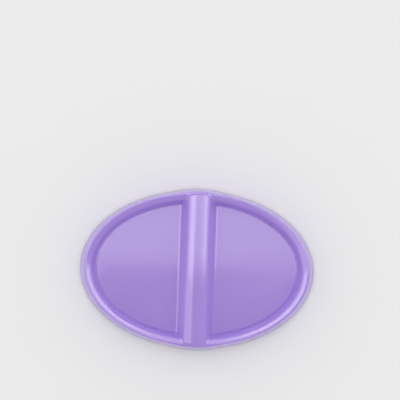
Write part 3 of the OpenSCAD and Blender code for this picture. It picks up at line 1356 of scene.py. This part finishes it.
@dataclass
class MagnetStack:
    """What lies under one half of the floor: a ferrite block, a steel plate and a foam pad."""

    side: Side
    centre: float = 26.0
    width: float = 25.0
    length: float = 40.0
    magnet_levels: Pair = (4.4, 8.4)
    plate_levels: Pair = (3.8, 4.4)
    pad_levels: Pair = (3.0, 3.8)
    pad_margin: float = 2.0
    swelling: Sequence[Pair] = ((0.25, 0.1), (0.5, 0.14), (0.75, 0.1))
    corner: float = 1.5
    press_edge: float = 0.5
    soft_edge: float = 0.08
    fill: float = 0.9

    def block(self, name: str, levels: Pair, margin: float = 0.0) -> Piece:
        """Models a rectangular block at the stack's place.

        Args:
            name: the piece's name.
            levels: its lower and upper heights.
            margin: how far it stays inside the magnet's sides.

        Returns:
            The block.
        """
        deselect_all()
        bpy.ops.mesh.primitive_cube_add(
            size=1, location=(self.side.value * self.centre * MM, 0, sum(levels) / 2 * MM))
        piece = named(name)
        sides = (self.width - 2 * margin, self.length - 2 * margin, levels[1] - levels[0])
        piece.scale = [side * MM for side in sides]
        return settle(piece, None)

    def round_corners(self, piece: Piece) -> None:
        """Rounds the four upright edges of a block.

        Args:
            piece: the block.
        """
        with editing(piece, Kind.EDGE):
            pick(piece, Kind.EDGE, is_upright)
            bpy.ops.mesh.bevel(offset=self.corner * MM, segments=6)

    def magnet(self, name: str) -> Piece:
        """Models the ferrite block, with pressed bevels and softened corners.

        Args:
            name: the piece's name.

        Returns:
            The block.
        """
        piece = self.block(name, self.magnet_levels)
        with editing(piece, Kind.EDGE, everything=True):
            bpy.ops.mesh.bevel(offset=self.press_edge * MM, segments=1)
            pick_all()
            bpy.ops.mesh.bevel(offset=self.soft_edge * MM, segments=2)
        return settle(piece, 25)

    def plate(self, name: str) -> Piece:
        """Models the steel plate, stamped with round corners and eased edges.

        Args:
            name: the piece's name.

        Returns:
            The plate.
        """
        piece = self.block(name, self.plate_levels)
        self.round_corners(piece)
        with editing(piece, Kind.EDGE):
            pick(piece, Kind.EDGE, is_sharp)
            bpy.ops.mesh.bevel(offset=self.soft_edge * MM, segments=2)
        return settle(piece, 30)

    def pad(self, name: str) -> Piece:
        """Models the foam pad, whose pressed sides swell and whose corners are round.

        Args:
            name: the piece's name.

        Returns:
            The pad.
        """
        piece = self.block(name, self.pad_levels, self.pad_margin)
        self.round_corners(piece)
        size = self.width / 2 - self.pad_margin
        low, high = self.pad_levels
        with editing(piece, Kind.EDGE):
            pick(piece, Kind.EDGE, is_upright)
            bpy.ops.mesh.subdivide(number_cuts=3)
            for share, grow in self.swelling:
                level, factor = (low + (high - low) * share) * MM, (size + grow) / size
                pick(piece, Kind.VERT, lambda v: abs(v.co.z - level) < TINY)
                bpy.ops.transform.resize(
                    value=(factor, factor, 1),
                    center_override=(self.side.value * self.centre * MM, 0, level))
        return settle(piece, 40)

    def build(self) -> list[Piece]:
        """Models and dresses the magnet, the plate and the pad.

        Returns:
            The three pieces.
        """
        half = self.side.name.lower()
        magnet = dress(self.magnet(f"ferrite_block_{half}"), f"magnet_{half}", MAGNET_FERRITE)
        plate = dress(self.plate(f"steel_plate_{half}"), f"backing_plate_{half}", ZINC_SHEET)
        pad = dress(self.pad(f"pressed_pad_{half}"), f"foam_pad_{half}", PAD_FOAM)
        return [magnet, plate, pad]


# The studio


@dataclass
class Camera:
    """The view from straight above the bowl, which stands a little below the picture's middle."""

    distance: float = 0.42
    pixels_per_mm: float = 1.914
    bowl_at: Pair = (-3.1, -68.9)
    roll: float = 2.0
    picture: float = 400.0
    sensor: float = 36.0

    def build(self) -> None:
        """Adds the camera and makes it the scene's."""
        focal = self.pixels_per_mm * self.distance / MM
        tilt = Vector((*self.bowl_at, -focal)).rotation_difference(Vector((0, 0, -1)))
        turn = Matrix.Rotation(math.radians(self.roll), 3, "Z") @ tilt.to_matrix()
        deselect_all()
        bpy.ops.object.camera_add(location=(0, 0, self.distance), rotation=turn.to_euler())
        camera = named("camera")
        camera.data.sensor_width = self.sensor
        camera.data.lens = self.sensor * focal / self.picture
        camera.data.clip_start, camera.data.clip_end = 0.01, 10
        bpy.context.scene.camera = camera


@dataclass(frozen=True)
class Panel:
    """A soft lamp that faces the bowl: a corner, the edge that leaves it and its drop to its foot.

    The radiance is how bright it looks, the fade is the share of that at its foot, and only a lamp
    that lights the room reaches what isn't glossy.
    """

    name: str
    corner: Point
    edge: Point
    drop: Point
    radiance: float
    fade: float = 1.0
    lights_room: bool = False

    def build(self) -> None:
        """Adds the lamp, with its power worked out from its brightness."""
        edge, drop = Vector(self.edge), Vector(self.drop)
        centre = Vector(self.corner) + (edge + drop) / 2
        side, up = edge.normalized(), -drop.normalized()
        if side.cross(up).dot(centre) < 0:
            side.negate()
        turn = Matrix((side, up, side.cross(up))).transposed()
        deselect_all()
        bpy.ops.object.light_add(type="AREA", location=centre, rotation=turn.to_euler())
        lamp = named(self.name)
        lamp.visible_camera = False
        lamp.visible_diffuse = self.lights_room
        lamp.data.shape = "RECTANGLE"
        lamp.data.size, lamp.data.size_y = edge.length, drop.length
        lamp.data.energy = self.radiance * math.pi * edge.length * drop.length
        sheet = Sheet.of(lamp.data)
        place = sheet.node("ShaderNodeNewGeometry").outputs["Parametric"]
        up_it = sheet.node("ShaderNodeSeparateXYZ", {0: place}).outputs["Y"]
        strength = sheet.ramp(up_it, 0.0, 1.0, self.fade)
        glow = sheet.node("ShaderNodeEmission", {"Strength": strength})
        sheet.node("ShaderNodeOutputLight", {"Surface": glow.outputs[0]})


@dataclass
class Studio:
    """The table, the lamps and the light that fills the room."""

    fill: float = 0.70
    horizon: float = 1.8
    table_size: float = 9.0
    table_colour: float = 0.80
    panels: Sequence[Panel] = (
        Panel("overhead_panel", (-0.46, 0.01, 3.0), (0.90, 0, 0), (0, 2.5, 0), 3.0, 1.0, True),
        Panel("left_panel", (-0.46, -0.03, 3.0), (0, 3.23, 0), (-3.11, 0, -2.5), 7.2, 0.12),
        Panel("left_wing", (-0.46, -1.6, 3.0), (0, 1.57, 0), (-3.11, 0, -2.5), 2.4, 0.7),
        Panel("right_inner_panel", (0.44, 0.0, 3.0), (0, 3.2, 0), (0.41, 0, 0), 4.2),
        Panel("right_panel", (0.85, 0.0, 3.0), (0, 3.2, 0), (2.85, 0, -2.5), 7.0, 0.12),
        Panel("back_panel", (-1.5, 2.8, 3.0), (3.0, 0, 0), (0, 1.2, -2.5), 4.0, 0.15),
    )

    def room_light(self) -> None:
        """Fills the room: brighter towards the horizon, and plain white where it is seen."""
        world = bpy.context.scene.world = bpy.data.worlds.new("room")
        sheet = Sheet.of(world)
        path = sheet.node("ShaderNodeLightPath").outputs
        seen = sheet.math("MAXIMUM", path["Is Camera Ray"], path["Is Glossy Ray"])
        seen = sheet.math("MAXIMUM", seen, path["Is Transmission Ray"])
        way = sheet.node("ShaderNodeTexCoord").outputs["Generated"]
        height = sheet.node("ShaderNodeSeparateXYZ", {0: way}).outputs["Z"]
        low = sheet.math("POWER", sheet.math("SUBTRACT", 1.0, height, clamp=True), 3.0)
        fill = sheet.math("MULTIPLY_ADD", low, self.horizon, self.fill)
        unseen = sheet.math("MULTIPLY", fill, sheet.math("SUBTRACT", 1.0, seen))
        strength = sheet.math("MAXIMUM", seen, unseen)
        light = sheet.node("ShaderNodeBackground", {"Color": (1, 1, 1, 1), "Strength": strength})
        sheet.node("ShaderNodeOutputWorld", {"Surface": light.outputs[0]})

    def table(self) -> None:
        """Adds the pale table."""
        deselect_all()
        bpy.ops.mesh.primitive_grid_add(x_subdivisions=8, y_subdivisions=8, size=self.table_size)
        top = named("table")
        paint = bpy.data.materials.new("white table")
        sheet = Sheet.of(paint)
        matt = sheet.node("ShaderNodeBsdfDiffuse", {"Color": (*[self.table_colour] * 3, 1)})
        sheet.node("ShaderNodeOutputMaterial", {"Surface": matt.outputs[0]})
        top.data.materials.append(paint)

    def build(self) -> None:
        """Fills the room, and adds the lamps and the table."""
        bpy.context.scene.view_settings.view_transform = "Standard"
        self.room_light()
        for panel in self.panels:
            panel.build()
        self.table()


# Putting it together


def main() -> None:
    """Builds the camera, the studio and every sub-assembly in order, and reports each piece."""
    logging.basicConfig(level=logging.INFO, format="%(name)s: %(message)s")
    Camera().build()
    Studio().build()
    plate = BasePlate()
    feet, screws = RubberFeet(plate.feet), CoverScrews(plate.screws)
    for assembly in (Dish(), plate, feet, screws, *map(MagnetStack, Side)):
        for piece in assembly.build():
            finish = piece.active_material.name
            log.info("%s: %d faces, %s", piece.name, len(piece.data.polygons), finish)
    deselect_all()


if __name__ == "__main__":
    main()
